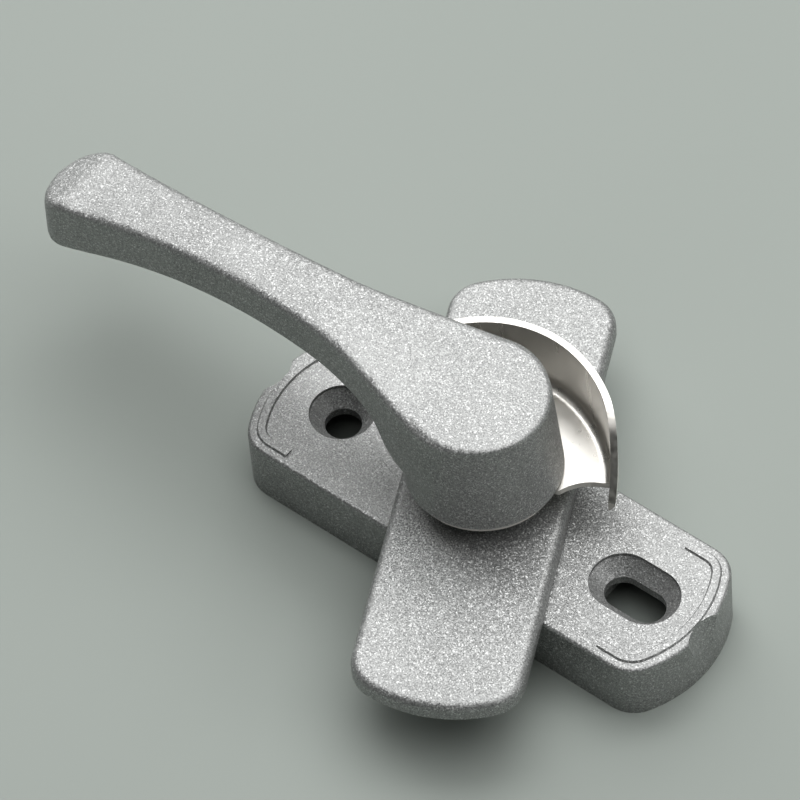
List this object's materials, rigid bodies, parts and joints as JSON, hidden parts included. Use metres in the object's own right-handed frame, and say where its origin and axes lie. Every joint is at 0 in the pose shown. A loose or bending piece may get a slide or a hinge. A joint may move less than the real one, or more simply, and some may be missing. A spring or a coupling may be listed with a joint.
{
  "type": "crescent sash lock",
  "caption": "Crescent sash lock: arched lever with a pressed crescent cam that draws a keeper in, on a cast base whose fixing screws hide under a turning cover.",
  "frame": {"origin": "where the spindle axis meets the mounting face of the base", "axes": "+X along the base towards the slotted fixing hole, +Y towards the keeper, +Z out of the sash along the spindle"},
  "size_m": [0.1118, 0.0702, 0.0356],
  "materials": {
    "base_paint": "silver metallic paint with a fine sand texture",
    "cover_paint": "silver metallic paint with a fine sand texture",
    "lever_paint": "silver metallic paint with a fine sand texture",
    "cam_nickel": "satin nickel plating",
    "bush_plastic": "natural acetal",
    "spindle_steel": "turned",
    "detent_steel": "sintered",
    "spring_steel": "smooth rolled",
    "washer_steel": "zinc plated",
    "screw_steel": "zinc plated",
    "plate_steel": "zinc plated sheet"
  },
  "bodies": {
    "base": {"base_plate": "base_paint", "spindle_bush": "bush_plastic", "front_leaf_spring": "spring_steel", "rear_leaf_spring": "spring_steel", "back_plate": "plate_steel", "back_plate_screws": "screw_steel"},
    "cover": {"cover_plate": "cover_paint", "cover_spring": "spring_steel"},
    "lever": {"lever_handle": "lever_paint", "crescent_cam": "cam_nickel", "spindle": "spindle_steel", "detent_block": "detent_steel", "plain_washer": "washer_steel", "lock_washer": "washer_steel", "retaining_screw": "screw_steel"}
  },
  "joints": [
    {"name": "handle_turn", "type": "hinge", "parent": "base", "child": "lever", "pos_m": [0, 0, 0.01], "axis": [0, 0, 1], "range_deg": [0, 180], "deforming": ["front_leaf_spring", "rear_leaf_spring"]},
    {"name": "cover_turn", "type": "hinge", "parent": "base", "child": "cover", "pos_m": [0, 0, 0.012], "axis": [0, 0, 1], "range_deg": [-115.5, 64.5]}
  ]
}
